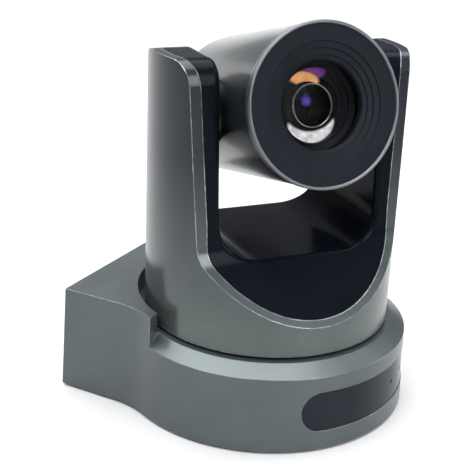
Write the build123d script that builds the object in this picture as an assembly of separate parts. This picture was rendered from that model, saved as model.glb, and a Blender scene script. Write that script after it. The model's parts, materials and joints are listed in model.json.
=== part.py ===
from build123d import *
import math
import os

# Pan-tilt-zoom camera. Millimetres, +Z up, -Y towards the front of the base, +Y towards its connectors.
# The origin is the mouth of the tripod thread, on the pan axis, at the underside of the base.

# ---- driving dimensions ----
BASE_RADIUS = 71.0  # round front drum, at the underside
BASE_DRAFT = 1.9  # how much the drum and box draw in over the height of the box
BOX_HALF_WIDTH = 59.1
BOX_REAR = 81.6
BOX_HEIGHT = 51.1
BOX_FRONT = 28.5  # where the raised box steps down to the drum
BOX_BLEND = 45.0  # concave blend between box side and drum
DRUM_SHOULDER = 36.0  # height where the drum's bevel starts
DRUM_TOP = 40.7
DRUM_RIM_RADIUS = 62.3
YOKE_WELL_RADIUS = 63.6  # clearance well that the yoke turns in
BASE_WALL = 2.4
PLATE_THICKNESS = 2.2

YOKE_RADIUS = 60.0
YOKE_BOTTOM = 42.3
YOKE_TOP = 170.5
YOKE_WALL = 2.4
ARM_TOP_HALF = 25.4  # half depth of an arm at its top
ARM_FOOT_HALF = 32.4  # half depth where its leaning faces meet the sloping foot
ARM_FOOT_HEIGHT = 83.4
ARM_FOOT_CURVE = 16.0
FOOT_REACH = 90.0  # the foot slopes down at 45 degrees to beyond the cylinder
ARM_FRONT_CORNER = 11.0
ARM_REAR_CORNER = 21.5
RIM_TOP_RADIUS = 55.4  # where the shell's rim gives way to the liner, on the arms
RIM_FOOT_RADIUS = 57.2  # and at the foot
LINER_ROUND = 3.0
POCKET_HALF_WIDTH = 39.4
POCKET_FLOOR = 81.0
POCKET_CORNER = 18.0
LINER_WALL = 1.8
RUN_GAP = 0.3  # clearance between pieces that move past each other

TILT_AXIS_HEIGHT = 143.0
PAN_REST = -39.0  # the modelled pose, in degrees
TILT_REST = 13.5

RING_RADIUS = 36.1
HOOD_RADIUS = 34.5
HEAD_FRONT_RADIUS = 35.5
HEAD_REAR_RADIUS = 33.7
HEAD_FRONT = -48.9  # front plane of the bezel ring, along the lens axis
HEAD_REAR = 49.0
HEAD_WALL = 2.2
LENS_RADIUS = 19.3

WINDOW_HALF_ANGLE = 49.4
WINDOW_LOW = 8.9
WINDOW_HIGH = 28.6
LED_ANGLES = (-2.2, 10.4)
WINDOW_SETBACK = 0.35
WINDOW_THICKNESS = 2.0

SHAFT_RADIUS = 14.0
PAN_PULLEY_RADIUS = 32.0
PAN_PINION_RADIUS = 8.0
PAN_MOTOR_X = -48.0
TILT_PULLEY_RADIUS = 14.0
TILT_PINION_RADIUS = 5.0
TILT_PINION_HEIGHT = 62.0
TRIPOD_THREAD_RADIUS = 3.175  # 1/4 inch thread
SCREW_RADIUS = 1.5

# connector panel and boards
PANEL_HALF_WIDTH = 50.0
PANEL_LOW = 5.0
PANEL_HIGH = 45.5
PANEL_FACE = 77.6  # outer face of the recessed connector panel
PANEL_THICKNESS = 1.6
PANEL_SCREWS = [(-46.5, 25.0), (46.5, 25.0)]
LOWER_BOARD = 8.0  # top face of the lower board
UPPER_BOARD = 25.5
BOARD_REAR = PANEL_FACE - PANEL_THICKNESS - 2.2
# connector name: (x, z of the centre, half width and half height of its opening in the panel)
CONNECTORS = {
    "lan_port": (-37.0, LOWER_BOARD + 6.8, 8.2, 6.8),
    "hdmi_port": (-13.0, LOWER_BOARD + 3.5, 8.0, 3.4),
    "sdi_connector": (13.0, LOWER_BOARD + 7.6, 7.6, 7.6),
    "dc_jack": (37.0, LOWER_BOARD + 5.6, 4.8, 5.6),
}
SERIAL_X = (-34.0, -14.0)
AUDIO_X = 10.0
DIAL_X = 34.0
DIAL_STEM = 2.0
UPPER_ROW = UPPER_BOARD + 7.0
BNC_RADIUS = 4.8
BNC_END = 89.5
FRONT_BOARD_Y = 63.0

# fixings
SHELL_SCREWS = [(-52, 30), (52, 30), (-36, -46), (36, -46)]
FOOT_PLACES = [(-44, 70), (44, 70), (-42, -38), (42, -38)]
BRACKET_SPACING = 50.0
YOKE_SCREW_ANGLES = (45, 135, 225, 315)
CAP_SCREWS = [(0, 20), (0, -20)]

# pan drive
HOUSING_RADIUS = 23.0
BEARING_RADIUS = 20.0
LOWER_BEARING = (12.0, 19.0)
UPPER_BEARING = (26.0, 33.0)
PAN_MOTOR_HALF = 14.0
PAN_MOTOR_HIGH = 20.0

# yoke frame and tilt drive
PLATE_LOW = YOKE_BOTTOM + 1.6
PLATE_HIGH = PLATE_LOW + 3.0
HUB_RADIUS = 14.0
FRAME_IN = POCKET_HALF_WIDTH + LINER_WALL + 0.4
FRAME_OUT = FRAME_IN + 2.5
BEARING_OUT = FRAME_IN + 5.0
TILT_BEARING_RADIUS = 9.0
TILT_SHAFT_RADIUS = 5.0
PULLEY_IN = BEARING_OUT + 0.4
PULLEY_OUT = PULLEY_IN + 5.0
TILT_MOTOR_HALF = 14.0
TILT_MOTOR_OUT = 41.0

# lens train, along the lens axis
BARREL_FRONT = HEAD_FRONT + 6.6
BARREL_REAR = 12.0
CELL_RADIUS = 12.4
BARREL_BORE = 12.7
ZOOM_REST = -35.2
GUIDE_OFFSET = 10.6

parts = {}


# ---- small helpers ----
def rod(radius, low, high):
    """An upright cylinder between two heights."""
    return Pos(0, 0, low) * Cylinder(radius, high - low, align=(Align.CENTER, Align.CENTER, Align.MIN))


def tube(outer, inner, low, high):
    return rod(outer, low, high) - rod(inner, low - 1, high + 1)


def block(x, y, z):
    """A box from its low and high limits along each axis."""
    size = (x[1] - x[0], y[1] - y[0], z[1] - z[0])
    return Pos(x[0], y[0], z[0]) * Box(*size, align=(Align.MIN, Align.MIN, Align.MIN))


def along_x(radius, low, high, y=0.0, z=0.0):
    """A cylinder along X, centred on (y, z)."""
    return Pos(low, y, z) * Rot(0, 90, 0) * rod(radius, 0, high - low)


def along_y(radius, low, high, x=0.0, z=0.0):
    """A cylinder along Y, centred on (x, z)."""
    return Pos(x, low, z) * Rot(-90, 0, 0) * rod(radius, 0, high - low)


def turned(points):
    """A solid of revolution about Z from (radius, height) points."""
    outline = make_face(Plane.XZ * Polyline(*points, close=True))
    return revolve(outline, Axis.Z)


def turned_lens(points):
    """A solid of revolution about the lens axis from (radius, distance behind the tilt axis) points."""
    return Rot(-90, 0, 0) * turned(points)


def pulley(radius, bore, low, high, teeth, tooth=0.7):
    """A toothed belt pulley about Z."""
    body = rod(radius, low, high)
    groove = Pos(radius, 0, low - 1) * Box(
        2 * tooth, math.pi * radius / teeth, high - low + 2, align=(Align.CENTER, Align.CENTER, Align.MIN)
    )
    body -= [Rot(0, 0, 360.0 * index / teeth) * groove for index in range(teeth)]
    return body - rod(bore, low - 1, high + 1)


def belt_loop(distance, radius_a, radius_b, thickness, low, high):
    """A closed belt about Z round one pulley at the origin and one at +X distance."""
    def hull(extra):
        a = radius_a + extra
        b = radius_b + extra
        sine = (a - b) / distance
        cosine = math.sqrt(1 - sine * sine)
        web = make_face(
            Polyline(
                (a * sine, a * cosine),
                (distance + b * sine, b * cosine),
                (distance + b * sine, -b * cosine),
                (a * sine, -a * cosine),
                close=True,
            )
        )
        return web + Circle(a) + Pos(distance, 0) * Circle(b)

    ring = hull(thickness) - hull(0.0)
    return Pos(0, 0, low) * extrude(ring, high - low)


def screw(radius, length, head_radius, head_height):
    """A cap screw pointing down, its head standing on z = 0."""
    socket = Pos(0, 0, head_height - 0.9) * extrude(RegularPolygon(head_radius * 0.5, 6), 2)
    return rod(head_radius, 0, head_height) + rod(radius, -length, 0) - socket


# ---- base ----
def base_outline(radius, half_width, rear):
    """Plan of the base: a round drum with a box behind it and concave blends between them."""
    plan = (Circle(radius) + Pos(0, rear / 2) * Rectangle(2 * half_width, rear)).clean()
    notches = [v for v in plan.vertices() if v.Y < rear - 1]
    return fillet(notches, BOX_BLEND)


def drum_top_cutter(inset):
    """Everything above the drum's bevelled top, in front of the box."""
    bevel = turned(
        [
            (0, DRUM_SHOULDER - 10),
            (BASE_RADIUS + 20, DRUM_SHOULDER - 10),
            (BASE_RADIUS + 20, BOX_HEIGHT + 10),
            (0, BOX_HEIGHT + 10),
        ]
    )
    draft = BASE_DRAFT * DRUM_SHOULDER / BOX_HEIGHT
    dome = turned(
        [
            (0, DRUM_SHOULDER - 10),
            (BASE_RADIUS + 20, DRUM_SHOULDER - 10),
            (BASE_RADIUS + 20, DRUM_SHOULDER - inset),
            (BASE_RADIUS - draft - inset, DRUM_SHOULDER - inset),
            (DRUM_RIM_RADIUS - inset, DRUM_TOP - inset),
            (0, DRUM_TOP - inset),
        ]
    )
    front = block((-90, 90), (-90, BOX_FRONT + inset), (0, BOX_HEIGHT + 10))
    return (bevel - dome) & front


def base_form(inset):
    """The base's outer form, or the hollow inside it when inset is the wall thickness."""
    low = base_outline(BASE_RADIUS - inset, BOX_HALF_WIDTH - inset, BOX_REAR - inset)
    drawn = BASE_DRAFT + inset
    high = base_outline(BASE_RADIUS - drawn, BOX_HALF_WIDTH - drawn, BOX_REAR - BASE_DRAFT * 0.7 - inset)
    form = loft([low.face(), (Pos(0, 0, BOX_HEIGHT - inset) * high).face()], ruled=True)
    well = rod(YOKE_WELL_RADIUS + inset, DRUM_TOP - inset, BOX_HEIGHT + 5)
    return form - drum_top_cutter(inset) - well


def window_cutter(margin, inner, outer):
    """A curved slot with round ends, from one radius to another, centred on the front of the drum."""
    middle = (WINDOW_LOW + WINDOW_HIGH) / 2
    half_height = (WINDOW_HIGH - WINDOW_LOW) / 2 + margin
    end_angle = WINDOW_HALF_ANGLE - math.degrees((WINDOW_HIGH - WINDOW_LOW) / 2 / BASE_RADIUS)
    plan = make_face(
        Polyline(
            (0, 0),
            (-outer * math.sin(math.radians(end_angle)), -outer * math.cos(math.radians(end_angle))),
            (-outer * math.sin(math.radians(end_angle)), -outer * 1.5),
            (outer * math.sin(math.radians(end_angle)), -outer * 1.5),
            (outer * math.sin(math.radians(end_angle)), -outer * math.cos(math.radians(end_angle))),
            close=True,
        )
    )
    slot = Pos(0, 0, middle - half_height) * extrude(plan, 2 * half_height)
    for angle in (-end_angle, end_angle):
        slot += Rot(0, 0, angle) * along_y(half_height, -outer * 1.2, -inner + 5, 0, middle)
    return slot - rod(inner, 0, BOX_HEIGHT)


def build_base_shell():
    shell = base_form(0.0) - Pos(0, 0, -0.001) * base_form(BASE_WALL)
    shell -= rod(46.0, DRUM_SHOULDER - 4, DRUM_TOP + 1)
    shell -= window_cutter(0.0, BASE_RADIUS - 8, BASE_RADIUS + 4)
    shell -= block((-PANEL_HALF_WIDTH, PANEL_HALF_WIDTH), (70, 90), (PANEL_LOW, PANEL_HIGH))
    # ledge frame that the connector panel seats against
    ledge = (PANEL_FACE - PANEL_THICKNESS - 2, PANEL_FACE - PANEL_THICKNESS)
    frame = block((-BOX_HALF_WIDTH, BOX_HALF_WIDTH), ledge, (PLATE_THICKNESS, BOX_HEIGHT))
    opening = PANEL_HALF_WIDTH - 1.5
    frame -= block((-opening, opening), (70, 90), (PANEL_LOW + 1.5, PANEL_HIGH - 1.5))
    for x, z in PANEL_SCREWS:
        frame += block((x - 3.5, x + 3.5), ledge, (z - 3, z + 3)) - along_y(SCREW_RADIUS, 70, 90, x, z)
    shell += frame
    for x, y in SHELL_SCREWS:
        shell += Pos(x, y, 0) * tube(3.4, SCREW_RADIUS, PLATE_THICKNESS, DRUM_TOP - 1.5)
    return shell & base_form(0.0)


def build_base_plate():
    inset = BASE_WALL + 0.1
    outline = base_outline(BASE_RADIUS - inset, BOX_HALF_WIDTH - inset, BOX_REAR - inset - 0.1)
    plate = extrude(outline, PLATE_THICKNESS)
    plate &= base_form(BASE_WALL + 0.08)
    plate += rod(10.0, 0, 9.0)
    plate -= rod(6.0, -1, 10.0)
    for x, y in FOOT_PLACES:
        plate -= Pos(x, y, -1) * rod(5.5, 0, 1.8)
    for x, y in SHELL_SCREWS:
        plate -= Pos(x, y, -1) * (rod(SCREW_RADIUS + 0.2, 0, 5) + rod(3.2, 0, 2.2))
    for side in (-1, 1):
        plate += Pos(side * BRACKET_SPACING / 2, 0, 0) * rod(4.0, 0, 6.0)
        plate -= Pos(side * BRACKET_SPACING / 2, 0, -1) * rod(SCREW_RADIUS, 0, 8)
    return plate


def build_rubber_feet():
    foot = rod(5.5, -1.0, 0.8)
    foot = chamfer(foot.edges().group_by(Axis.Z)[0], 0.4)
    return [Pos(x, y, 0) * foot for x, y in FOOT_PLACES]


def build_tripod_insert():
    return rod(6.0, 0, 9.0) - rod(TRIPOD_THREAD_RADIUS, -1, 7.5)


def build_base_screws():
    under = Rot(180, 0, 0) * screw(SCREW_RADIUS, 9.0, 3.0, 1.0)
    behind = Rot(-90, 0, 0) * screw(SCREW_RADIUS, 3.4, 2.6, 1.4)
    screws = [Pos(x, y, 1.2) * under for x, y in SHELL_SCREWS]
    return screws + [Pos(x, PANEL_FACE, z) * behind for x, z in PANEL_SCREWS]


def build_ir_window():
    low_radius = BASE_RADIUS - WINDOW_SETBACK
    high_radius = low_radius - BASE_DRAFT * DRUM_SHOULDER / BOX_HEIGHT
    skin = turned(
        [
            (low_radius - WINDOW_THICKNESS, 0),
            (low_radius, 0),
            (high_radius, DRUM_SHOULDER),
            (high_radius - WINDOW_THICKNESS, DRUM_SHOULDER),
        ]
    )
    window = skin & window_cutter(-0.05, BASE_RADIUS - 8, BASE_RADIUS + 4)
    middle = (WINDOW_LOW + WINDOW_HIGH) / 2
    for angle in LED_ANGLES:
        window -= Rot(0, 0, angle) * along_y(1.1, -80, -60, 0, middle)
    return window


def build_status_leds():
    middle = (WINDOW_LOW + WINDOW_HIGH) / 2
    pipe = along_y(1.1, -BASE_RADIUS + 1.2, -FRONT_BOARD_Y - 0.3, 0, middle)
    pipe += along_y(1.6, -FRONT_BOARD_Y - 3.5, -FRONT_BOARD_Y - 0.3, 0, middle)
    return [Rot(0, 0, angle) * pipe for angle in LED_ANGLES]


def build_front_board():
    board = block((-16, 20), (-FRONT_BOARD_Y + 1.2, -FRONT_BOARD_Y + 2.6), (4.2, 33))
    board += block((-12, 16), (-FRONT_BOARD_Y + 2.6, -FRONT_BOARD_Y + 8), (5, 9))
    board += block((-18, 22), (-FRONT_BOARD_Y + 1.2, -FRONT_BOARD_Y + 6), (PLATE_THICKNESS, 4.2))
    return board


def build_ir_receiver():
    body = block((-11, -5), (-FRONT_BOARD_Y - 2.2, -FRONT_BOARD_Y + 1.2), (15, 22))
    return body + along_y(2.5, -FRONT_BOARD_Y - 3.6, -FRONT_BOARD_Y, -8, 18.5)


def build_gap_ring():
    """Dark labyrinth ring in the top of the drum, under the yoke."""
    ring = tube(50.5, 46.0, DRUM_TOP - BASE_WALL - 1.2, DRUM_TOP - BASE_WALL)
    ring += tube(46.0, 42.5, DRUM_TOP - BASE_WALL - 1.2, DRUM_TOP + 0.6)
    return ring


# ---- pan drive ----


def build_bearing_housing():
    housing = rod(HOUSING_RADIUS, PLATE_THICKNESS, UPPER_BEARING[1])
    housing += rod(30.0, PLATE_THICKNESS, 5.2) & block((-27.5, 27.5), (-40, 40), (0, 10))
    housing -= rod(BEARING_RADIUS, LOWER_BEARING[0], 40)
    housing += tube(BEARING_RADIUS + 0.5, BEARING_RADIUS - 1.6, LOWER_BEARING[1], UPPER_BEARING[0])
    housing -= rod(10.0, 0, 20)
    for side in (-1, 1):
        housing -= Pos(side * BRACKET_SPACING / 2, 0, 0) * rod(4.0, 0, 6.0)
    return housing


def bearing(outer, inner, low, high):
    """A shielded ball bearing about Z: two races joined by a recessed shield on each side."""
    race = (outer - inner) * 0.28
    shields = tube(outer - race / 2, inner + race / 2, low + 0.5, high - 0.5)
    return tube(outer, outer - race, low, high) + tube(inner + race, inner, low, high) + shields


def build_pan_bearings():
    return [bearing(BEARING_RADIUS, SHAFT_RADIUS, *span) for span in (LOWER_BEARING, UPPER_BEARING)]


def build_pan_motor():
    half = PAN_MOTOR_HALF
    body = block((-half, half), (-half, half), (PLATE_THICKNESS + 1.2, PAN_MOTOR_HIGH))
    body = chamfer(body.edges().filter_by(Axis.Z), 3.0)
    body += rod(11.0, PAN_MOTOR_HIGH, PAN_MOTOR_HIGH + 1.0)
    body += rod(2.5 - 0.05, PAN_MOTOR_HIGH, 34.6)
    return Pos(PAN_MOTOR_X, 0, 0) * body


def build_pan_motor_bracket():
    half = PAN_MOTOR_HALF
    bracket = block((-half, half), (-half, half), (PLATE_THICKNESS, PLATE_THICKNESS + 1.2))
    bracket += block((-half, half), (half, half + 1.5), (PLATE_THICKNESS, PAN_MOTOR_HIGH - 2))
    bracket += block((-half, half), (-half - 1.5, -half), (PLATE_THICKNESS, PAN_MOTOR_HIGH - 2))
    return Pos(PAN_MOTOR_X, 0, 0) * bracket


def build_pan_belt():
    loop = belt_loop(
        -PAN_MOTOR_X, PAN_PULLEY_RADIUS + RUN_GAP, PAN_PINION_RADIUS + RUN_GAP, 1.0, 23.6, 32.6
    )
    return Rot(0, 0, 180) * loop


def build_pan_pinion():
    teeth = 16
    return Pos(PAN_MOTOR_X, 0, 0) * pulley(PAN_PINION_RADIUS, 2.5, 22.6, 33.6, teeth, 0.5)


# ---- boards and connectors in the box ----
def build_main_board():
    board = block((-54, 54), (37, BOARD_REAR), (LOWER_BOARD - 1.6, LOWER_BOARD))
    for x, y, w, d, h in (
        (-24, 44, 14, 14, 2.2),
        (2, 45, 20, 12, 2.0),
        (28, 44, 10, 10, 3.0),
        (44, 48, 8, 8, 7.0),
        (-44, 46, 9, 9, 6.0),
    ):
        board += block((x - w / 2, x + w / 2), (y - d / 2, y + d / 2), (LOWER_BOARD - 0.5, LOWER_BOARD + h))
    return board


def build_io_board():
    board = block((-52, 52), (40, BOARD_REAR), (UPPER_BOARD - 1.6, UPPER_BOARD))
    for x, y, w, d, h in ((-30, 50, 16, 12, 2.2), (-4, 50, 12, 12, 2.0), (24, 50, 14, 8, 4.0)):
        board += block((x - w / 2, x + w / 2), (y - d / 2, y + d / 2), (UPPER_BOARD - 0.5, UPPER_BOARD + h))
    return board


def build_board_standoffs():
    posts = []
    for x, y in ((-50, 55), (50, 55), (0, 62)):
        posts.append(Pos(x, y, 0) * rod(2.4, PLATE_THICKNESS, LOWER_BOARD - 1.6))
        posts.append(Pos(x, y, 0) * rod(2.4, LOWER_BOARD, UPPER_BOARD - 1.6))
    return posts


def build_rear_panel():
    panel = block(
        (-PANEL_HALF_WIDTH + 0.05, PANEL_HALF_WIDTH - 0.05),
        (PANEL_FACE - PANEL_THICKNESS, PANEL_FACE),
        (PANEL_LOW + 0.05, PANEL_HIGH - 0.05),
    )
    for x, z, half_width, half_height in CONNECTORS.values():
        wide, tall = half_width + 0.2, half_height + 0.2
        panel -= block((x - wide, x + wide), (70, 90), (z - tall, z + tall))
    for x in SERIAL_X:
        panel -= along_y(7.0, 70, 90, x, UPPER_ROW)
    panel -= along_y(3.7, 70, 90, AUDIO_X, UPPER_ROW)
    panel -= along_y(6.3, 70, 90, DIAL_X, UPPER_ROW)
    for x, z in PANEL_SCREWS:
        panel -= along_y(SCREW_RADIUS, 70, 90, x, z)
    return panel


def build_lan_port():
    x, z, half_width, half_height = CONNECTORS["lan_port"]
    shell = block((x - half_width, x + half_width), (60, 78.6), (z - half_height, z + half_height))
    shell -= block((x - 5.9, x + 5.9), (64, 80), (z - 4.6, z + 3.4))
    shell -= block((x - 3.0, x + 3.0), (64, 80), (z - 6.0, z - 3.0))
    for pin in range(8):
        left = x - 4.6 + pin * 1.27
        shell += block((left, left + 0.4), (64, 74), (z + 2.6, z + 3.4))
    return shell


def build_hdmi_port():
    x, z, half_width, half_height = CONNECTORS["hdmi_port"]
    def cavity_plan(grow):
        return make_face(
            Polyline(
                (-7.0 - grow, 2.3 + grow),
                (7.0 + grow, 2.3 + grow),
                (7.0 + grow, -0.6 - grow * 0.5),
                (5.2 + grow * 0.6, -2.3 - grow),
                (-5.2 - grow * 0.6, -2.3 - grow),
                (-7.0 - grow, -0.6 - grow * 0.5),
                close=True,
            )
        )
    body = Pos(x, 66, z) * Rot(-90, 0, 0) * extrude(mirror(cavity_plan(0.7), Plane.XZ), 12.3)
    body -= Pos(x, 70, z) * Rot(-90, 0, 0) * extrude(mirror(cavity_plan(0.0), Plane.XZ), 12.3)
    tongue = block((x - 5.6, x + 5.6), (69.5, 76.6), (z + 0.4, z + 1.4))
    pedestal = block((x - 7, x + 7), (66, 76), (LOWER_BOARD, z - 2.5))
    return body + tongue + pedestal


def build_sdi_connector():
    x, z, _, _ = CONNECTORS["sdi_connector"]
    body = block((x - 7.2, x + 7.2), (62, 76), (LOWER_BOARD, z + 7.2))
    body += along_y(7.4, 76, 78.4, x, z)
    body += along_y(BNC_RADIUS, 78, BNC_END, x, z)
    body += along_x(1.0, x - BNC_RADIUS - 1.0, x + BNC_RADIUS + 1.0, BNC_END - 3.6, z)
    body -= along_y(4.0, 79, BNC_END + 1, x, z)
    body += along_y(2.4, 78, BNC_END - 1.0, x, z)
    return body - along_y(0.6, 80, BNC_END + 1, x, z)


def build_dc_jack():
    x, z, half_width, half_height = CONNECTORS["dc_jack"]
    body = block((x - half_width, x + half_width), (64, 78.6), (z - half_height, z + half_height))
    body -= along_y(2.9, 69.5, 80, x, z + 0.6)
    return body + along_y(1.0, 69, 77.6, x, z + 0.6)


def build_serial_ports():
    ports = []
    for x in SERIAL_X:
        body = block((x - 7, x + 7), (64, 76), (UPPER_BOARD, UPPER_ROW + 5.6))
        body += along_y(6.8, 76, 78.6, x, UPPER_ROW)
        body -= along_y(5.6, 74, 80, x, UPPER_ROW) - along_y(4.6, 73, 81, x, UPPER_ROW)
        for index in range(8):
            angle = math.radians(45 * index + 22.5)
            body -= along_y(0.5, 76, 80, x + 2.9 * math.cos(angle), UPPER_ROW + 2.9 * math.sin(angle))
        ports.append(body)
    return ports


def build_audio_jack():
    body = block((AUDIO_X - 4, AUDIO_X + 4), (64, 76), (UPPER_BOARD, UPPER_ROW + 4))
    body += along_y(3.5, 76, 79.2, AUDIO_X, UPPER_ROW)
    return body - along_y(1.8, 66, 80, AUDIO_X, UPPER_ROW)


def build_address_switch():
    body = block((DIAL_X - 6, DIAL_X + 6), (67, 76), (UPPER_BOARD, UPPER_ROW + 6))
    return body - along_y(DIAL_STEM + 0.05, 70, 80, DIAL_X, UPPER_ROW)


def build_address_dial():
    dial = along_y(DIAL_STEM, 70.3, 77, DIAL_X, UPPER_ROW) + along_y(5.6, 76.3, 80.4, DIAL_X, UPPER_ROW)
    flute = along_y(0.55, 77.6, 81, 0, 0)
    for index in range(16):
        angle = math.radians(22.5 * index)
        dial -= Pos(DIAL_X + 5.7 * math.cos(angle), 0, UPPER_ROW + 5.7 * math.sin(angle)) * flute
    return dial - block((DIAL_X - 0.6, DIAL_X + 0.6), (79.4, 81), (UPPER_ROW - 0.5, UPPER_ROW + 4.6))


# ---- yoke: the body that pans ----
def yoke_profile(inset):
    """Side outline of the yoke, drawn in by inset: leaning faces on sloping feet, with rounded corners."""
    foot_end = ARM_FOOT_HEIGHT - (FOOT_REACH - ARM_FOOT_HALF)
    outline = make_face(
        Polyline(
            (-ARM_TOP_HALF, YOKE_TOP),
            (-ARM_FOOT_HALF, ARM_FOOT_HEIGHT),
            (-FOOT_REACH, foot_end),
            (FOOT_REACH, foot_end),
            (ARM_FOOT_HALF, ARM_FOOT_HEIGHT),
            (ARM_TOP_HALF, YOKE_TOP),
            close=True,
        )
    )
    for corner, radius in (
        ((-ARM_TOP_HALF, YOKE_TOP), ARM_FRONT_CORNER),
        ((ARM_TOP_HALF, YOKE_TOP), ARM_REAR_CORNER),
        ((-ARM_FOOT_HALF, ARM_FOOT_HEIGHT), ARM_FOOT_CURVE),
        ((ARM_FOOT_HALF, ARM_FOOT_HEIGHT), ARM_FOOT_CURVE),
    ):
        outline = fillet(outline.vertices().sort_by_distance((*corner, 0))[0], radius)
    return Plane.YZ * (offset(outline, -inset) if inset else outline)


def yoke_core(gap):
    """The space inside the shell's rim, drawn in by gap and slightly wider at the foot."""
    foot = RIM_FOOT_RADIUS - gap
    top = RIM_TOP_RADIUS - gap
    low, high = YOKE_BOTTOM - 1, YOKE_TOP + 5
    return turned([(0, low), (foot, low), (foot, 60), (top, 98), (top, high), (0, high)])


def pocket(grow):
    """The slot between the arms that the head tilts in."""
    height = 200.0
    outline = RectangleRounded(2 * (POCKET_HALF_WIDTH + grow), height, POCKET_CORNER + grow)
    return extrude(Plane.XZ * Pos(0, POCKET_FLOOR - grow + height / 2) * outline, amount=90, both=True)


def yoke_form(inset):
    """The yoke as a solid: a cylinder cut to its side outline, less the slot for the head."""
    column = rod(YOKE_RADIUS - inset, YOKE_BOTTOM, YOKE_TOP + 5)
    return (column & extrude(yoke_profile(inset), amount=80, both=True)) - pocket(inset)


def pocket_edges(form):
    """The edges round the slot's mouth, on the front and rear of the arms and of the floor."""
    mouth = []
    for edge in form.edges():
        points = [edge.position_at(t) for t in (0.1, 0.5, 0.9)]
        on_wall = all(abs(abs(p.X) - POCKET_HALF_WIDTH) < 0.01 for p in points)
        on_floor = all(p.Z < POCKET_FLOOR + POCKET_CORNER and abs(p.X) < POCKET_HALF_WIDTH for p in points)
        above_floor = points[1].Z > POCKET_FLOOR - 0.01
        along_slot = abs(points[0].X - points[2].X) < 0.01 and abs(points[0].Z - points[2].Z) < 0.01
        if (on_wall or on_floor) and above_floor and not along_slot:
            mouth.append(edge)
    return mouth


def build_yoke_shell():
    hollow = rod(YOKE_RADIUS - YOKE_WALL, YOKE_BOTTOM - 1, YOKE_TOP + 5)
    hollow &= extrude(yoke_profile(YOKE_WALL), amount=80, both=True)
    shell = yoke_form(0.0) - yoke_core(0.0) - hollow
    lip = tube(YOKE_RADIUS - YOKE_WALL + 0.5, 50.0, YOKE_BOTTOM, YOKE_BOTTOM + 1.6)
    for angle in YOKE_SCREW_ANGLES:
        lip -= Rot(0, 0, angle) * Pos(53.5, 0, 0) * rod(SCREW_RADIUS, YOKE_BOTTOM - 1, YOKE_BOTTOM + 3)
    return shell + lip


def build_yoke_liner():
    """Glossy panel over the arms' faces, tops and inner walls and the slot's floor."""
    form = yoke_form(0.0) & yoke_core(0.05)
    form = fillet(pocket_edges(form), LINER_ROUND)
    liner = form - yoke_form(LINER_WALL) - rod(YOKE_RADIUS, 0, PLATE_HIGH + 0.4)
    return liner - along_x(TILT_SHAFT_RADIUS + 0.6, -45, 45, 0, TILT_AXIS_HEIGHT)


def build_yoke_frame():
    frame = rod(56.5, PLATE_LOW, PLATE_HIGH) - rod(9.0, 0, 80)
    for side in (-1, 1):
        upright = block((FRAME_IN, FRAME_OUT), (-17, 17), (PLATE_LOW, TILT_AXIS_HEIGHT))
        upright += along_x(17, FRAME_IN, FRAME_OUT, 0, TILT_AXIS_HEIGHT)
        upright += along_x(11.5, FRAME_IN, BEARING_OUT, 0, TILT_AXIS_HEIGHT)
        upright -= along_x(TILT_BEARING_RADIUS, FRAME_IN - 1, BEARING_OUT + 1, 0, TILT_AXIS_HEIGHT)
        upright -= block((FRAME_IN - 1, FRAME_OUT + 1), (-9, 9), (84, 120))
        upright -= along_x(5.0, FRAME_IN - 1, FRAME_OUT + 1, 0, TILT_PINION_HEIGHT)
        if side < 0:
            upright = mirror(upright, Plane.YZ)
        frame += upright
    for angle in YOKE_SCREW_ANGLES:
        frame -= Rot(0, 0, angle) * Pos(53.5, 0, 0) * rod(SCREW_RADIUS, 0, 80)
    for angle in range(0, 360, 90):
        frame -= Rot(0, 0, angle + 45) * Pos(20, 0, 0) * rod(SCREW_RADIUS, 0, 80)
    slot = block((FRAME_OUT + 1.6, 54.5), (-9, 9), (0, 80))
    return frame - slot


def build_pan_shaft():
    shaft = tube(SHAFT_RADIUS - 0.03, 9.0, LOWER_BEARING[0] + 0.4, PLATE_LOW)
    shaft += tube(26.0, 9.0, DRUM_TOP - 0.4, PLATE_LOW)
    for angle in range(0, 360, 90):
        shaft -= Rot(0, 0, angle + 45) * Pos(20, 0, 0) * rod(SCREW_RADIUS, DRUM_TOP - 2, 80)
    return shaft


def build_pan_pulley():
    ring = pulley(PAN_PULLEY_RADIUS, 28.5, 23.0, 34.0, 64, 0.5)
    web = tube(PAN_PULLEY_RADIUS - 1.0, SHAFT_RADIUS - 0.03, 34.0, 37.0)
    hub = tube(18.0, SHAFT_RADIUS - 0.03, 34.0, DRUM_TOP - 0.4)
    return ring + web + hub


def build_yoke_screws():
    screws = []
    length = PLATE_HIGH - YOKE_BOTTOM - 0.3
    for angle in YOKE_SCREW_ANGLES:
        screws.append(Rot(0, 0, angle) * Pos(53.5, 0, PLATE_HIGH) * screw(SCREW_RADIUS, length, 2.6, 1.6))
    for angle in range(0, 360, 90):
        screws.append(Rot(0, 0, angle + 45) * Pos(20, 0, PLATE_HIGH) * screw(SCREW_RADIUS, 5.8, 2.6, 1.6))
    return screws


# ---- tilt drive ----


def build_tilt_motor():
    half = TILT_MOTOR_HALF
    span = (TILT_PINION_HEIGHT - half, TILT_PINION_HEIGHT + half)
    body = block((TILT_MOTOR_OUT - 30, TILT_MOTOR_OUT), (-half, half), span)
    body = chamfer(body.edges().filter_by(Axis.X), 3.0)
    body += along_x(2.5 - 0.05, TILT_MOTOR_OUT, PULLEY_OUT + 0.6, 0, TILT_PINION_HEIGHT)
    return body


def build_tilt_motor_bracket():
    half = TILT_MOTOR_HALF
    span = (TILT_MOTOR_OUT - 22, TILT_MOTOR_OUT - 2)
    foot = block(span, (-half - 6, half + 6), (PLATE_HIGH, TILT_PINION_HEIGHT - half))
    wall = block(span, (half, half + 1.5), (PLATE_HIGH, TILT_PINION_HEIGHT + 8))
    return foot + wall + mirror(wall, Plane.XZ)


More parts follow.
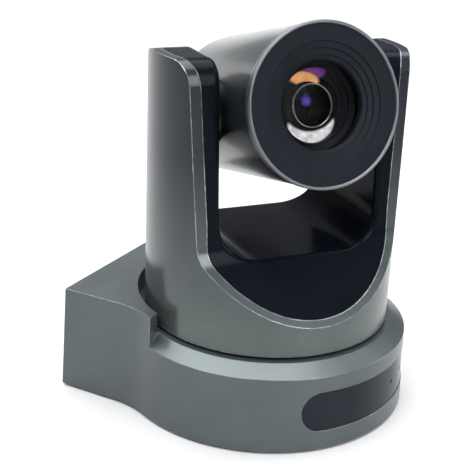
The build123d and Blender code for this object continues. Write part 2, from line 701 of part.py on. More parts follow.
def build_tilt_bearings():
    bearings = []
    for side in (-1, 1):
        piece = bearing(TILT_BEARING_RADIUS, TILT_SHAFT_RADIUS, FRAME_IN, BEARING_OUT)
        bearings.append(Pos(0, 0, TILT_AXIS_HEIGHT) * Rot(0, 90 * side, 0) * piece)
    return bearings


def build_tilt_belt():
    loop = belt_loop(
        TILT_AXIS_HEIGHT - TILT_PINION_HEIGHT,
        TILT_PULLEY_RADIUS + RUN_GAP,
        TILT_PINION_RADIUS + RUN_GAP,
        0.9,
        PULLEY_IN + 0.6,
        PULLEY_OUT - 0.6,
    )
    return Pos(0, 0, TILT_AXIS_HEIGHT) * Rot(0, 90, 0) * loop


def build_tilt_pinion():
    gear = pulley(TILT_PINION_RADIUS, 2.5, PULLEY_IN, PULLEY_OUT, 14, 0.4)
    return Pos(0, 0, TILT_PINION_HEIGHT) * Rot(0, 90, 0) * gear


def build_drive_board():
    board = block((-38, -4), (-26, 26), (PLATE_HIGH + 4, PLATE_HIGH + 5.6))
    for x, y in ((-34, -22), (-34, 22), (-8, -22), (-8, 22)):
        board += Pos(x, y, 0) * rod(2.0, PLATE_HIGH, PLATE_HIGH + 4)
    for x, y, size in ((-28, -8, 8), (-28, 8, 8), (-14, 0, 10)):
        board += Pos(x, y, PLATE_HIGH + 6.4) * Box(size, size, 1.6)
    return board


# ---- head: the body that tilts, in its own frame with the tilt axis along X through the origin ----
def build_head_shell():
    front = HEAD_FRONT + 3.4
    seam = HEAD_REAR - 5.5
    outer_front = HEAD_FRONT_RADIUS
    narrowing = (HEAD_FRONT_RADIUS - HEAD_REAR_RADIUS) * (seam - front) / (HEAD_REAR - front)
    outer_rear = outer_front - narrowing
    inner_front = outer_front - HEAD_WALL
    inner_rear = outer_rear - HEAD_WALL
    shell = turned_lens([(inner_front, front), (outer_front, front), (outer_rear, seam), (inner_rear, seam)])
    for side in (-1, 1):
        low, high = sorted((side * 28.0, side * (POCKET_HALF_WIDTH - 0.5)))
        boss = along_x(HUB_RADIUS + 1.2, low, high)
        boss -= turned_lens([(0, front), (inner_front, front), (inner_rear, seam), (0, seam)])
        shell += boss
    return shell - along_x(TILT_SHAFT_RADIUS, -45, 45)


def build_head_rear_cap():
    seam = HEAD_REAR - 5.5
    outer = HEAD_REAR_RADIUS
    cap = along_y(outer, seam, HEAD_REAR)
    cap = fillet(cap.edges().group_by(Axis.Y)[-1], 5.0)
    cap -= along_y(outer - HEAD_WALL - 2, seam - 1, HEAD_REAR - 2.2)
    cap += along_y(outer - HEAD_WALL, seam - 4, seam) - along_y(outer - HEAD_WALL - 1.6, seam - 5, seam + 1)
    for x, z in CAP_SCREWS:
        cap -= along_y(SCREW_RADIUS, HEAD_REAR - 12, HEAD_REAR + 1, x, z)
        cap -= along_y(3.0, HEAD_REAR - 1.2, HEAD_REAR + 1, x, z)
    return cap


def build_head_screws():
    head = Rot(-90, 0, 0) * screw(SCREW_RADIUS, 6.0, 2.6, 1.1)
    return [Pos(x, HEAD_REAR - 1.2, z) * head for x, z in CAP_SCREWS]


def build_front_ring():
    outer = RING_RADIUS
    inner = HOOD_RADIUS
    with BuildSketch(Plane.XZ) as sketch:
        with BuildLine():
            back = Line((HEAD_FRONT_RADIUS - HEAD_WALL, HEAD_FRONT + 3.4), (outer - 0.1, HEAD_FRONT + 3.4))
            side = Line(back @ 1, (outer, HEAD_FRONT + 0.8))
            nose = ThreePointArc(side @ 1, ((outer + inner) / 2, HEAD_FRONT), (inner, HEAD_FRONT + 0.7))
            step = Line(nose @ 1, (inner, HEAD_FRONT + 2.4))
            seat = Line(step @ 1, (HEAD_FRONT_RADIUS - HEAD_WALL, HEAD_FRONT + 2.4))
            Line(seat @ 1, back @ 0)
        make_face()
    return Rot(-90, 0, 0) * revolve(sketch.sketch, Axis.Z)


def build_lens_hood():
    """Dark stepped bezel between the ring and the front element."""
    steps = [(HOOD_RADIUS, 1.0), (27.4, 1.3), (27.2, 1.9), (24.5, 2.1), (24.3, 2.7), (21.8, 2.9), (21.6, 3.5)]
    outline = [(radius, HEAD_FRONT + depth) for radius, depth in steps]
    outline += [
        (LENS_RADIUS + 0.6, HEAD_FRONT + 3.7),
        (LENS_RADIUS, HEAD_FRONT + 4.3),
        (LENS_RADIUS, HEAD_FRONT + 6.6),
        (LENS_RADIUS + 2.7, HEAD_FRONT + 6.6),
        (LENS_RADIUS + 5.0, HEAD_FRONT + 5.0),
        (HEAD_FRONT_RADIUS - HEAD_WALL, HEAD_FRONT + 3.4),
        (HEAD_FRONT_RADIUS - HEAD_WALL, HEAD_FRONT + 2.4),
        (HOOD_RADIUS, HEAD_FRONT + 2.4),
    ]
    return turned_lens(outline)


def cap_sphere(radius, bulge, plane, facing):
    """The ball whose surface crosses the plane at radius and bulges past it, along the lens axis."""
    ball = (radius * radius + bulge * bulge) / (2 * bulge)
    return Pos(0, plane + facing * (bulge - ball), 0) * Sphere(ball)


def lens_element(radius, front_bulge, rear_bulge, front, rear):
    """A round glass element between its edge planes; a negative rear bulge hollows the back."""
    glass = along_y(radius, front - front_bulge - 1, rear + max(rear_bulge, 0) + 1)
    glass &= cap_sphere(radius + 0.01, front_bulge, front, -1)
    if rear_bulge > 0:
        return glass & cap_sphere(radius + 0.01, rear_bulge, rear, 1)
    glass &= along_y(radius + 1, front - front_bulge - 1, rear)
    return glass - cap_sphere(radius - 2.0, -rear_bulge, rear, -1)


def build_front_lens():
    """Meniscus front element, bulging forwards."""
    return lens_element(LENS_RADIUS - 0.1, 2.4, -1.4, BARREL_FRONT + 0.2, BARREL_FRONT + 2.8)


def build_lens_barrel():
    """Lens barrel with a ribbed cone behind the front element and a straight bore for the moving groups."""
    front = BARREL_FRONT
    outline = [
        (LENS_RADIUS + 2.7, front),
        (LENS_RADIUS + 2.7, front + 12),
        (BARREL_BORE + 2.0, front + 15),
        (BARREL_BORE + 2.0, BARREL_REAR),
        (BARREL_BORE, BARREL_REAR),
        (BARREL_BORE, front + 6.4),
        (BARREL_BORE + 1.6, front + 6.0),
        (BARREL_BORE + 1.8, front + 5.0),
        (BARREL_BORE + 3.6, front + 4.6),
        (BARREL_BORE + 3.8, front + 3.6),
        (LENS_RADIUS - 0.1, front + 2.8),
        (LENS_RADIUS - 0.1, front),
    ]
    return turned_lens(outline)


def build_zoom_cell():
    cell = along_y(CELL_RADIUS, ZOOM_REST, ZOOM_REST + 6)
    cell -= along_y(8.6, ZOOM_REST - 1, ZOOM_REST + 7)
    cell += along_y(9.6, ZOOM_REST - 0.7, ZOOM_REST + 1) - along_y(8.6, ZOOM_REST - 1, ZOOM_REST + 7)
    for side in (-1, 1):
        cell -= along_y(0.85, ZOOM_REST - 2, ZOOM_REST + 8, side * GUIDE_OFFSET, 0)
    return cell


def build_zoom_lens():
    return lens_element(8.6, 1.4, 0.8, ZOOM_REST + 1.4, ZOOM_REST + 4.4)


def build_guide_rods():
    return [along_y(0.8, BARREL_FRONT + 6.6, 8.0, side * GUIDE_OFFSET, 0) for side in (-1, 1)]


def build_iris_unit():
    iris = along_y(BARREL_BORE, -9.0, -6.5) - along_y(5.0, -10, -5)
    for side in (-1, 1):
        iris -= along_y(0.8, -10, -5, side * GUIDE_OFFSET, 0)
    for index in range(6):
        angle = 60 * index
        iris -= Rot(0, angle, 0) * block((5.8, 9.2), (-7.1, -6.0), (-0.3, 0.3))
    return iris


def build_focus_cell():
    cell = along_y(CELL_RADIUS, -3.0, 1.0) - along_y(7.5, -4, 2)
    for side in (-1, 1):
        cell -= along_y(0.85, -5, 3, side * GUIDE_OFFSET, 0)
    return cell


def build_focus_lens():
    return lens_element(7.5, 0.6, 0.6, -2.4, 0.4)


def build_rear_lens():
    return lens_element(BARREL_BORE, 0.8, 0.5, 9.0, BARREL_REAR - 0.5)


def build_image_sensor():
    return block((-5.5, 5.5), (BARREL_REAR + 1.2, BARREL_REAR + 3.2), (-4.5, 4.5))


def build_sensor_board():
    board = block((-15, 15), (BARREL_REAR + 3.2, BARREL_REAR + 4.8), (-15, 15))
    for x in (-13, 13):
        for z in (-13, 13):
            board += along_y(1.6, BARREL_REAR, BARREL_REAR + 3.4, x, z)
    return board


def build_head_frame():
    """Pressed frame that ties the lens barrel to the two tilt shafts."""
    out = 30.0
    wall = 1.6
    plate = block((-19, 19), (BARREL_REAR - wall, BARREL_REAR), (-19, 19))
    plate -= along_y(BARREL_BORE + 2.0, 0, 20)
    frame = plate
    for side in (-1, 1):
        web = block((19 - 1, out - wall), (BARREL_REAR - wall, BARREL_REAR), (-10, 10))
        cheek = block((out - wall, out), (-10, BARREL_REAR), (-10, 10))
        cheek -= along_x(TILT_SHAFT_RADIUS - 1.5, 20, 40)
        piece = web + cheek
        frame += piece if side > 0 else mirror(piece, Plane.YZ)
    return frame


def build_tilt_shaft_left():
    shaft = along_x(TILT_SHAFT_RADIUS, -POCKET_HALF_WIDTH + 0.4, -30.0)
    shaft += along_x(TILT_SHAFT_RADIUS - 0.03, -BEARING_OUT - 1.0, -POCKET_HALF_WIDTH + 0.4)
    return shaft - along_x(3.2, -60, -20)


def build_tilt_shaft_right():
    shaft = along_x(TILT_SHAFT_RADIUS, 30.0, POCKET_HALF_WIDTH - 0.4)
    return shaft + along_x(TILT_SHAFT_RADIUS - 0.03, POCKET_HALF_WIDTH - 0.4, PULLEY_OUT + 0.4)


def build_tilt_pulley():
    gear = pulley(TILT_PULLEY_RADIUS, TILT_SHAFT_RADIUS - 0.03, PULLEY_IN, PULLEY_OUT, 40, 0.4)
    return Rot(0, 90, 0) * gear


# ---- assembly ----
def place(name, shape, where):
    pieces = shape if isinstance(shape, list) else [shape]
    solids = []
    for piece in pieces:
        solids.extend((where * piece).solids())
    parts[name] = solids[0] if len(solids) == 1 else Compound(children=solids)


yoke_place = Rot(0, 0, PAN_REST)
head_place = yoke_place * Pos(0, 0, TILT_AXIS_HEIGHT) * Rot(-TILT_REST, 0, 0)

BASE_NODES = {
    "base_shell": build_base_shell,
    "base_plate": build_base_plate,
    "rubber_feet": build_rubber_feet,
    "tripod_insert": build_tripod_insert,
    "base_screws": build_base_screws,
    "ir_window": build_ir_window,
    "status_leds": build_status_leds,
    "front_board": build_front_board,
    "ir_receiver": build_ir_receiver,
    "gap_ring": build_gap_ring,
    "bearing_housing": build_bearing_housing,
    "pan_bearings": build_pan_bearings,
    "pan_motor": build_pan_motor,
    "pan_motor_bracket": build_pan_motor_bracket,
    "pan_belt": build_pan_belt,
    "pan_pinion": build_pan_pinion,
    "main_board": build_main_board,
    "io_board": build_io_board,
    "board_standoffs": build_board_standoffs,
    "rear_panel": build_rear_panel,
    "lan_port": build_lan_port,
    "hdmi_port": build_hdmi_port,
    "sdi_connector": build_sdi_connector,
    "dc_jack": build_dc_jack,
    "serial_ports": build_serial_ports,
    "audio_jack": build_audio_jack,
    "address_switch": build_address_switch,
    "address_dial": build_address_dial,
}

YOKE_NODES = {
    "yoke_shell": build_yoke_shell,
    "yoke_liner": build_yoke_liner,
    "yoke_frame": build_yoke_frame,
    "pan_shaft": build_pan_shaft,
    "pan_pulley": build_pan_pulley,
    "yoke_screws": build_yoke_screws,
    "tilt_motor": build_tilt_motor,
    "tilt_motor_bracket": build_tilt_motor_bracket,
    "tilt_bearings": build_tilt_bearings,
    "tilt_belt": build_tilt_belt,
    "tilt_pinion": build_tilt_pinion,
    "drive_board": build_drive_board,
}

HEAD_NODES = {
    "head_shell": build_head_shell,
    "head_rear_cap": build_head_rear_cap,
    "head_screws": build_head_screws,
    "front_ring": build_front_ring,
    "lens_hood": build_lens_hood,
    "front_lens": build_front_lens,
    "lens_barrel": build_lens_barrel,
    "zoom_cell": build_zoom_cell,
    "zoom_lens": build_zoom_lens,
    "guide_rods": build_guide_rods,
    "iris_unit": build_iris_unit,
    "focus_cell": build_focus_cell,
    "focus_lens": build_focus_lens,
    "rear_lens": build_rear_lens,
    "image_sensor": build_image_sensor,
    "sensor_board": build_sensor_board,
    "head_frame": build_head_frame,
    "tilt_shaft_left": build_tilt_shaft_left,
    "tilt_shaft_right": build_tilt_shaft_right,
    "tilt_pulley": build_tilt_pulley,
}

for nodes, where in ((BASE_NODES, Pos(0, 0, 0)), (YOKE_NODES, yoke_place), (HEAD_NODES, head_place)):
    for name, build in nodes.items():
        place(name, build(), where)

os.makedirs("parts", exist_ok=True)
for name, shape in parts.items():
    export_step(shape, f"parts/{name}.step")
print(len(parts), "nodes written")
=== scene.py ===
"""Looks of the pan-tilt-zoom camera: materials, small visible details, floor, light and camera."""

import json
import math

import bmesh
import bpy
from mathutils import Matrix, Vector


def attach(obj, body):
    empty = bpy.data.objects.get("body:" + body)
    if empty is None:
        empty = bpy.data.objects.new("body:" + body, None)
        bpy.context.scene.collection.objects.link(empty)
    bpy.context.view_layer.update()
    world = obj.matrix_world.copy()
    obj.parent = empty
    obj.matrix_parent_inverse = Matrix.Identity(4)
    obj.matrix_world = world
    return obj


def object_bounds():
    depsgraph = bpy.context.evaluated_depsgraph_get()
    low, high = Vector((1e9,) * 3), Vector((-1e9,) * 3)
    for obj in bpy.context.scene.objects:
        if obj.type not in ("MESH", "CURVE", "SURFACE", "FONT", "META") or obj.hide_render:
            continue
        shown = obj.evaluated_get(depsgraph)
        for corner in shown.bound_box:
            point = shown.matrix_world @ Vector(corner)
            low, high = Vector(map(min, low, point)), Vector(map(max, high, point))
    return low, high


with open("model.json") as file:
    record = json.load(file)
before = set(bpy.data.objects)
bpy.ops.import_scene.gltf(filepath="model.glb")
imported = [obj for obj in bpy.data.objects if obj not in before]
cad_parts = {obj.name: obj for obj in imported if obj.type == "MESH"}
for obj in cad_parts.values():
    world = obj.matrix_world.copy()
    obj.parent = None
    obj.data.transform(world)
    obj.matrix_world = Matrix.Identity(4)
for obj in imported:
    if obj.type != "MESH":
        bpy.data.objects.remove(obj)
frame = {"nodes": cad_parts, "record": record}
cad_box = [list(corner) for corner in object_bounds()]

# ---- places, in metres and degrees, in the row frame ----
PAN_REST = -39.0
TILT_REST = 13.5
TILT_AXIS_HEIGHT = 0.143
ELEMENT_RADIUS = 16.2  # inner lens, in millimetres
ELEMENT_RIM = -37.9
ELEMENT_BULGE = 2.2
ZOOM_RIM_RADIUS = 9.4
ZOOM_RIM_DEPTH = -35.95
ZOOM_RIM_THICKNESS = 0.12
ELEMENT_THICKNESS = 0.35
CAMERA_PLACE = (-0.436741, -0.200899, 0.263709)
CAMERA_AZIMUTH = -63.44
CAMERA_ELEVATION = 21.339
CAMERA_ROLL = 2.661
CAMERA_LENS = 80.155
SENSOR_WIDTH = 36.0
MM = 0.001
PAINTED_SHADE_HEIGHTS = (0.05, 0.13)  # painted shade: the yoke's paint is darkened from here up, standing in for the shade on the upper arms
SMOOTH_ANGLE = math.radians(28)
EDGE_START = 0.98  # cosine between plain and rounded normal where the rubbed edge and its painted edge highlight begin
EDGE_FULL = 0.80
FLOOR_REACH = 4.0
FLOOR_GAP = 0.0002
WORLD_STRENGTH = 0.8
AIM = (0.0, 0.0, 0.09)
SOFTBOXES = (  # name, place, target, size and power in watts
    ("key", (-0.9, 0.35, 1.1), AIM, (0.9, 0.6), 11),
    ("front", (-0.5, -1.2, 0.7), AIM, (0.5, 1.0), 13),
    ("right", (0.9, -1.0, 0.6), AIM, (0.4, 1.0), 8),
    ("top", (0.4, 0.6, 2.4), (0.4, 0.6, 0.0), (3.0, 3.0), 150),
    ("back", (0.95, 1.15, 0.22), (0.0, 0.0, 0.15), (1.7, 0.3), 2.6),
)


# ---- node helpers ----
def new_material(name):
    """An empty node material: its tree, and its Principled shader."""
    material = bpy.data.materials.new(name)
    material.use_nodes = True
    return material, material.node_tree, material.node_tree.nodes["Principled BSDF"]


def add_node(tree, kind, **settings):
    node = tree.nodes.new(kind)
    for key, value in settings.items():
        if key in node.inputs:
            node.inputs[key].default_value = value
        else:
            setattr(node, key, value)
    return node


def noise(tree, scale, detail=3.0, stretch=(1, 1, 1)):
    """Fractal noise in object space, stretched along any axis; returns its value socket."""
    place = add_node(tree, "ShaderNodeTexCoord")
    mapping = add_node(tree, "ShaderNodeMapping", Scale=stretch)
    texture = add_node(tree, "ShaderNodeTexNoise", Scale=scale, Detail=detail, Roughness=0.6)
    tree.links.new(place.outputs["Object"], mapping.inputs["Vector"])
    tree.links.new(mapping.outputs["Vector"], texture.inputs["Vector"])
    return texture.outputs["Fac"]


def ramp(tree, value, low, high, start=0.3, end=0.7):
    """Turns a value into a colour, or into a grey when low and high are numbers."""
    node = add_node(tree, "ShaderNodeValToRGB")
    node.color_ramp.elements[0].position = start
    node.color_ramp.elements[1].position = end
    for element, colour in zip(node.color_ramp.elements, (low, high)):
        shade = (colour,) * 3 if isinstance(colour, (int, float)) else tuple(colour)
        element.color = (*shade, 1.0)
    tree.links.new(value, node.inputs["Fac"])
    return node.outputs["Color"]


def mix(tree, share, below, above):
    node = add_node(tree, "ShaderNodeMix", data_type="RGBA")
    tree.links.new(share, node.inputs["Factor"])
    tree.links.new(below, node.inputs[6])
    tree.links.new(above, node.inputs[7])
    return node.outputs[2]


def edge_mask(tree, radius):
    """1 along convex and concave edges, 0 on flat faces, and the rounded normal itself."""
    bevel = add_node(tree, "ShaderNodeBevel", samples=6, Radius=radius)
    geometry = add_node(tree, "ShaderNodeNewGeometry")
    dot = add_node(tree, "ShaderNodeVectorMath", operation="DOT_PRODUCT")
    invert = add_node(tree, "ShaderNodeMapRange")
    invert.inputs["From Min"].default_value = EDGE_START
    invert.inputs["From Max"].default_value = EDGE_FULL
    tree.links.new(bevel.outputs["Normal"], dot.inputs[0])
    tree.links.new(geometry.outputs["Normal"], dot.inputs[1])
    tree.links.new(dot.outputs["Value"], invert.inputs["Value"])
    return invert.outputs["Result"], bevel.outputs["Normal"]


def bump(tree, height, strength, distance, normal=None):
    node = add_node(tree, "ShaderNodeBump", Strength=strength, Distance=distance)
    tree.links.new(height, node.inputs["Height"])
    if normal is not None:
        tree.links.new(normal, node.inputs["Normal"])
    return node.outputs["Normal"]


def rise(tree, low, high):
    """0 below one height and 1 above another, in object space."""
    place = add_node(tree, "ShaderNodeTexCoord")
    axes = add_node(tree, "ShaderNodeSeparateXYZ")
    climb = add_node(tree, "ShaderNodeMapRange")
    climb.inputs["From Min"].default_value = low
    climb.inputs["From Max"].default_value = high
    tree.links.new(place.outputs["Object"], axes.inputs["Vector"])
    tree.links.new(axes.outputs["Z"], climb.inputs["Value"])
    return climb.outputs["Result"]


def finish(name, dark, light, rough, metallic=0.0, grain=900.0, depth=0.00002, edge=0.0004, wear_and_highlight=None, coat=0.0,
           stretch=(1, 1, 1), mottle=60.0, specular=0.5, painted_shade=None):
    """A moulded, painted or machined surface: mottled colour, fine grain, softened edges and rubbed corners, whose
    light colour is real wear on most finishes and partly a painted edge highlight on the shell paints.

    painted_shade is the darker colour painted towards the top of the arms, standing in for shade there."""
    material, tree, shader = new_material(name)
    shader.inputs["Metallic"].default_value = metallic
    shader.inputs["Coat Weight"].default_value = coat
    shader.inputs["Coat Roughness"].default_value = 0.08
    shader.inputs["Specular IOR Level"].default_value = specular
    fine = noise(tree, grain, 4.0, stretch)
    cloud = noise(tree, mottle, 3.0, stretch)
    colour = ramp(tree, cloud, dark, light)
    # painted shade: the colour darkens towards the top, standing in for shade on the upper arms
    if painted_shade is not None:
        colour = mix(tree, rise(tree, *PAINTED_SHADE_HEIGHTS), colour, ramp(tree, fine, painted_shade, [1.15 * c for c in painted_shade]))
    mask, rounded = edge_mask(tree, edge)
    # rubbed corners: real wear on most finishes; on the gunmetal, head and yoke paints the light edge colour is also
    # a painted edge highlight
    if wear_and_highlight is not None:
        patchy = ramp(tree, noise(tree, 260.0, 5.0), 0.35, 1.0, 0.4, 0.6)
        share = add_node(tree, "ShaderNodeMath", operation="MULTIPLY")
        tree.links.new(mask, share.inputs[0])
        tree.links.new(patchy, share.inputs[1])
        rubbed_and_highlit = ramp(tree, fine, [0.88 * c for c in wear_and_highlight], wear_and_highlight)
        colour = mix(tree, share.outputs["Value"], colour, rubbed_and_highlit)
    tree.links.new(colour, shader.inputs["Base Color"])
    tree.links.new(ramp(tree, cloud, rough * 0.92, rough * 1.08), shader.inputs["Roughness"])
    tree.links.new(bump(tree, fine, 0.35, depth, rounded), shader.inputs["Normal"])
    return material


def lens_glass(name, ior, tint):
    """Clear, well coated glass with faint wiping marks."""
    material, tree, shader = new_material(name)
    shader.inputs["Transmission Weight"].default_value = 1.0
    shader.inputs["IOR"].default_value = ior
    smear = noise(tree, 45.0, 5.0)
    tree.links.new(ramp(tree, smear, tint, (1.0, 1.0, 1.0)), shader.inputs["Base Color"])
    tree.links.new(ramp(tree, smear, 0.002, 0.012), shader.inputs["Roughness"])
    return material


def spot(tree, centre, size, turn, start, end):
    """1 inside an ellipse drawn in the lens's own x and z, fading to 0 across its rim."""
    place = add_node(tree, "ShaderNodeTexCoord")
    mapping = add_node(tree, "ShaderNodeMapping", vector_type="TEXTURE")
    mapping.inputs["Location"].default_value = (centre[0] * MM, 0.0, centre[1] * MM)
    mapping.inputs["Rotation"].default_value = (0.0, math.radians(turn), 0.0)
    mapping.inputs["Scale"].default_value = (size[0] * MM, 1.0, size[1] * MM)
    sphere = add_node(tree, "ShaderNodeTexGradient", gradient_type="SPHERICAL")
    tree.links.new(place.outputs["Object"], mapping.inputs["Vector"])
    tree.links.new(mapping.outputs["Vector"], sphere.inputs["Vector"])
    return ramp(tree, sphere.outputs["Fac"], 0.0, 1.0, start, end)


def combine(tree, first, second, operation):
    node = add_node(tree, "ShaderNodeMath", operation=operation, use_clamp=True)
    tree.links.new(first, node.inputs[0])
    tree.links.new(second, node.inputs[1])
    return node.outputs["Value"]


def painted_reflection_element():
    """Thin inner lens, clear, carrying painted reflections: amber, purple, white and violet patches that glow by
    emission in place of the gleams a coating would throw back at the rim.
    """
    material, tree, shader = new_material("painted_reflection_element")
    hub = spot(tree, (-4.2, 0.3), (10.4, 10.4), 0, 0.0, 0.03)
    amber = combine(tree, spot(tree, (-5.0, 11.6), (8.0, 3.6), 12, 0.0, 0.25), hub, "SUBTRACT")
    purple = combine(tree, spot(tree, (0.0, 15.0), (7.0, 3.9), 10, 0.0, 0.3), amber, "SUBTRACT")
    purple = combine(tree, purple, hub, "SUBTRACT")
    crescent = combine(tree, spot(tree, (-2.4, -7.4), (11.6, 9.4), 0, 0.0, 0.12),
                       spot(tree, (-2.6, -0.6), (13.2, 10.9), 0, 0.0, 0.1), "SUBTRACT")
    violet = spot(tree, (-4.8, 2.3), (3.4, 3.4), 0, 0.05, 0.8)
    grain = noise(tree, 320.0, 4.0)
    painted_gleam = ramp(tree, grain, 0.0, (0.002, 0.002, 0.004))
    # painted reflections: each patch's colour glows through the emission socket
    for share, low, high in (
        (purple, (0.07, 0.015, 0.10), (0.13, 0.03, 0.17)),
        (amber, (0.50, 0.22, 0.07), (0.78, 0.40, 0.16)),
        (crescent, (0.42, 0.40, 0.41), (0.95, 0.92, 0.92)),
        (violet, (0.03, 0.02, 0.16), (0.10, 0.06, 0.42)),
    ):
        painted_gleam = mix(tree, share, painted_gleam, ramp(tree, grain, low, high))
    cover = combine(tree, combine(tree, purple, amber, "ADD"), combine(tree, crescent, violet, "ADD"), "ADD")
    shader.inputs["Base Color"].default_value = (0.002, 0.002, 0.003, 1.0)
    shader.inputs["Specular IOR Level"].default_value = 0.05
    shader.inputs["Emission Strength"].default_value = 1.0
    tree.links.new(painted_gleam, shader.inputs["Emission Color"])
    tree.links.new(ramp(tree, cover, 0.04, 1.0, 0.0, 1.0), shader.inputs["Alpha"])
    return material


def painted_highlight_edge():
    """Painted highlight: a thin bead that glows by emission, standing in for the bright edge of a turned ring."""
    material, tree, shader = new_material("painted_highlight_edge")
    painted_gleam = ramp(tree, noise(tree, 90.0, 3.0), (0.10, 0.105, 0.11), (0.42, 0.43, 0.45), 0.35, 0.65)
    shader.inputs["Metallic"].default_value = 1.0
    shader.inputs["Roughness"].default_value = 0.2
    shader.inputs["Emission Strength"].default_value = 0.7
    tree.links.new(painted_gleam, shader.inputs["Base Color"])
    tree.links.new(painted_gleam, shader.inputs["Emission Color"])
    return material


materials = {
    # gunmetal paint: its light rubbed edges are partly wear and partly a painted edge highlight
    "shell": finish("gunmetal_paint", (0.074, 0.088, 0.091), (0.085, 0.1, 0.103), 0.3, metallic=0.6, grain=2600.0,
                    depth=0.000012, wear_and_highlight=(0.42, 0.44, 0.44), coat=0.1),
    # painted shade: a darker copy of the gunmetal paint, standing in for the shade on the head; its light edges are
    # partly a painted highlight
    "shaded_head_paint": finish("shaded_head_paint", (0.022, 0.027, 0.029), (0.026, 0.032, 0.034), 0.24, metallic=0.6, grain=2600.0,
                         depth=0.000012, wear_and_highlight=(0.3, 0.32, 0.32), coat=0.15),
    # yoke paint: painted shade towards the top of the arms, and very light edges that are a painted highlight
    "yoke_paint_shade_and_highlight": finish("yoke_paint_shade_and_highlight", (0.078, 0.093, 0.091), (0.09, 0.106, 0.103), 0.26, metallic=0.6, grain=2600.0,
                         depth=0.000012, edge=0.0007, wear_and_highlight=(0.9, 0.92, 0.92), coat=0.1, painted_shade=(0.012, 0.016, 0.02)),
    "liner": finish("gloss_black_plastic", (0.0025, 0.0038, 0.006), (0.0035, 0.005, 0.008), 0.2, grain=500.0,
                    depth=0.000006, wear_and_highlight=(0.012, 0.016, 0.02), specular=0.04),
    "window": finish("smoked_window", (0.008, 0.011, 0.015), (0.011, 0.015, 0.02), 0.12, grain=240.0, depth=0.000004,
                     specular=0.13),
    "ring": finish("satin_ring", (0.1, 0.107, 0.115), (0.12, 0.127, 0.135), 0.3, metallic=0.8, grain=1800.0,
                   depth=0.00001, wear_and_highlight=(0.3, 0.31, 0.32)),
    "hood": finish("hood_plastic", (0.0035, 0.006, 0.009), (0.005, 0.008, 0.012), 0.38, grain=3200.0, depth=0.000014,
                   wear_and_highlight=(0.014, 0.018, 0.024), specular=0.07),
    "lens_black": finish("anodised_black", (0.001, 0.0012, 0.0015), (0.002, 0.0022, 0.0027), 0.4, grain=1500.0,
                         depth=0.00001, wear_and_highlight=(0.02, 0.021, 0.024), specular=0.06),
    "steel": finish("zinc_steel", (0.36, 0.37, 0.38), (0.46, 0.47, 0.48), 0.32, metallic=1.0, grain=700.0,
                    wear_and_highlight=(0.7, 0.7, 0.7), mottle=240.0),
    "cast_frame": finish("cast_aluminium", (0.38, 0.39, 0.4), (0.47, 0.48, 0.49), 0.48, metallic=1.0, grain=420.0,
                         depth=0.00006, wear_and_highlight=(0.66, 0.66, 0.67)),
    "rubber": finish("feet_rubber", (0.011, 0.011, 0.011), (0.02, 0.02, 0.021), 0.78, grain=1300.0, depth=0.00004,
                     specular=0.3),
    "board": finish("circuit_board", (0.006, 0.07, 0.03), (0.012, 0.11, 0.05), 0.32, grain=300.0, mottle=420.0),
    "motor": finish("motor_black", (0.014, 0.014, 0.015), (0.025, 0.025, 0.026), 0.35, grain=600.0,
                    wear_and_highlight=(0.3, 0.3, 0.3)),
    "connector_metal": finish("nickel_shell", (0.5, 0.5, 0.48), (0.62, 0.62, 0.6), 0.24, metallic=1.0, grain=500.0,
                              wear_and_highlight=(0.8, 0.8, 0.8), mottle=200.0),
    "black_plastic": finish("connector_plastic", (0.012, 0.012, 0.013), (0.02, 0.02, 0.022), 0.42, grain=2200.0,
                            depth=0.00002, wear_and_highlight=(0.06, 0.06, 0.06)),
    "brass": finish("brass", (0.5, 0.34, 0.11), (0.62, 0.45, 0.17), 0.3, metallic=1.0, grain=500.0,
                    wear_and_highlight=(0.8, 0.65, 0.35), mottle=180.0),
    "led": finish("lamp_lens", (0.0012, 0.0016, 0.002), (0.003, 0.0035, 0.004), 0.25, grain=400.0, depth=0.000004,
                  specular=0.05),
    "lens_glass": lens_glass("coated_glass", 1.05, (0.93, 0.95, 1.0)),
}

OWN_FINISH = {
    "yoke_shell": "yoke_paint_shade_and_highlight",
    "head_shell": "shaded_head_paint",
    "head_rear_cap": "shaded_head_paint",
    "guide_rods": "lens_black",
}

for entry in frame["record"]["subparts"]:
    node = frame["nodes"][entry["node"]]
    for slot in node.material_slots:
        slot.material = materials[OWN_FINISH.get(entry["node"], entry["material_slot"])]
    node.data.shade_smooth()
    node.data.set_sharp_from_angle(angle=SMOOTH_ANGLE)


# ---- inner lens with painted reflections, and the painted-highlight rim of the zoom cell ----
HEAD_PLACE = (
    Matrix.Rotation(math.radians(PAN_REST), 4, "Z")
    @ Matrix.Translation((0, 0, TILT_AXIS_HEIGHT))
    @ Matrix.Rotation(math.radians(-TILT_REST), 4, "X")
)


def turned_piece(name, outline, material, body, steps=96):
    """A smooth piece turned about the lens axis from (radius, depth) points in millimetres."""
    build = bmesh.new()
    rings = []
    for radius, depth in outline:
        if radius == 0:
            rings.append([build.verts.new((0, depth * MM, 0))])
            continue
        angles = [2 * math.pi * step / steps for step in range(steps)]
        reach = radius * MM
        rings.append([build.verts.new((reach * math.cos(a), depth * MM, reach * math.sin(a))) for a in angles])
    for inner, outer in zip(rings, rings[1:]):
        for step in range(steps):
            after = (step + 1) % steps
            near = [inner[step % len(inner)], inner[after % len(inner)]]
            far = [outer[after % len(outer)], outer[step % len(outer)]]
            build.faces.new(list(dict.fromkeys(near + far)))
    bmesh.ops.recalc_face_normals(build, faces=build.faces)
    mesh = bpy.data.meshes.new(name)
    build.to_mesh(mesh)
    build.free()
    mesh.materials.append(material)
    mesh.shade_smooth()
    piece = bpy.data.objects.new(name, mesh)
    piece.matrix_world = HEAD_PLACE
    bpy.context.scene.collection.objects.link(piece)
    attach(piece, body)
    return piece


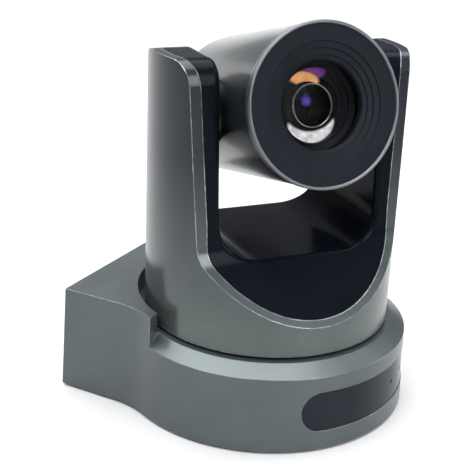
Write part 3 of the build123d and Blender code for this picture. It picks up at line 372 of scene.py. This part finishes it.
def cap_outline(rim_radius, rim_depth, bulge, rings=14):
    """Points of a thin domed lens, front centre to rim and back to the rear centre."""
    radii = [rim_radius * step / rings for step in range(rings + 1)]
    front = [(r, rim_depth - bulge * (1 - (r / rim_radius) ** 2)) for r in radii]
    rear = [(r, rim_depth + ELEMENT_THICKNESS - bulge * (1 - (r / rim_radius) ** 2)) for r in reversed(radii)]
    return front + rear


def bead_outline(radius, depth, thickness, steps=16):
    """Points round the cross-section of a thin ring."""
    angles = [2 * math.pi * step / steps for step in range(steps + 1)]
    return [(radius + thickness * math.cos(a), depth + thickness * math.sin(a)) for a in angles]


turned_piece("inner_element", cap_outline(ELEMENT_RADIUS, ELEMENT_RIM, ELEMENT_BULGE), painted_reflection_element(), "head")
# zoom_rim is a glowing bead: a painted highlight on the zoom cell's edge
turned_piece("zoom_rim", bead_outline(ZOOM_RIM_RADIUS, ZOOM_RIM_DEPTH, ZOOM_RIM_THICKNESS), painted_highlight_edge(),
             "zoom")


# ---- camera ----
def camera_matrix():
    """World matrix of the camera, from its place and its azimuth, elevation and roll."""
    azimuth, elevation, roll = (math.radians(a) for a in (CAMERA_AZIMUTH, CAMERA_ELEVATION, CAMERA_ROLL))
    back = Vector((
        math.sin(azimuth) * math.cos(elevation),
        -math.cos(azimuth) * math.cos(elevation),
        math.sin(elevation),
    ))
    right = Vector((math.cos(azimuth), math.sin(azimuth), 0.0))
    up = back.cross(right)
    turned_right = right * math.cos(roll) + up * math.sin(roll)
    turned_up = up * math.cos(roll) - right * math.sin(roll)
    matrix = Matrix((turned_right, turned_up, back)).transposed().to_4x4()
    matrix.translation = CAMERA_PLACE
    return matrix


camera = bpy.data.objects.new("camera", bpy.data.cameras.new("camera"))
camera.data.lens = CAMERA_LENS
camera.data.sensor_width = SENSOR_WIDTH
camera.matrix_world = camera_matrix()
bpy.context.scene.collection.objects.link(camera)
bpy.context.scene.camera = camera


# ---- floor and light ----
def softbox(name, place, target, size, power):
    """A rectangular area light at place, aimed at target."""
    light = bpy.data.lights.new(name, "AREA")
    light.shape = "RECTANGLE"
    light.size, light.size_y = size
    light.energy = power
    holder = bpy.data.objects.new(name, light)
    holder.location = place
    holder.rotation_euler = (Vector(place) - Vector(target)).to_track_quat("Z", "Y").to_euler()
    bpy.context.scene.collection.objects.link(holder)


for lamp in SOFTBOXES:
    softbox(*lamp)

world = bpy.data.worlds.new("studio")
world.use_nodes = True
sky = world.node_tree
place = add_node(sky, "ShaderNodeTexCoord")
height = add_node(sky, "ShaderNodeSeparateXYZ")
sky.links.new(place.outputs["Generated"], height.inputs["Vector"])
sky.links.new(ramp(sky, height.outputs["Z"], (0.10, 0.11, 0.12), (0.9, 0.93, 1.0), 0.05, 0.75),
              sky.nodes["Background"].inputs["Color"])
sky.nodes["Background"].inputs["Strength"].default_value = WORLD_STRENGTH
bpy.context.scene.world = world

floor_mesh = bpy.data.meshes.new("floor")
grid = bmesh.new()
bmesh.ops.create_grid(grid, x_segments=8, y_segments=8, size=FLOOR_REACH)
grid.to_mesh(floor_mesh)
grid.free()
floor = bpy.data.objects.new("floor", floor_mesh)
floor.location = (0, 0, cad_box[0][2] - FLOOR_GAP)
floor_mesh.materials.append(
    finish("pale_floor", (0.46, 0.46, 0.46), (0.48, 0.48, 0.48), 0.6, grain=40.0, mottle=2.0, edge=0.0001)
)
bpy.context.scene.collection.objects.link(floor)

scene_look = bpy.context.scene.view_settings
scene_look.view_transform = "Standard"
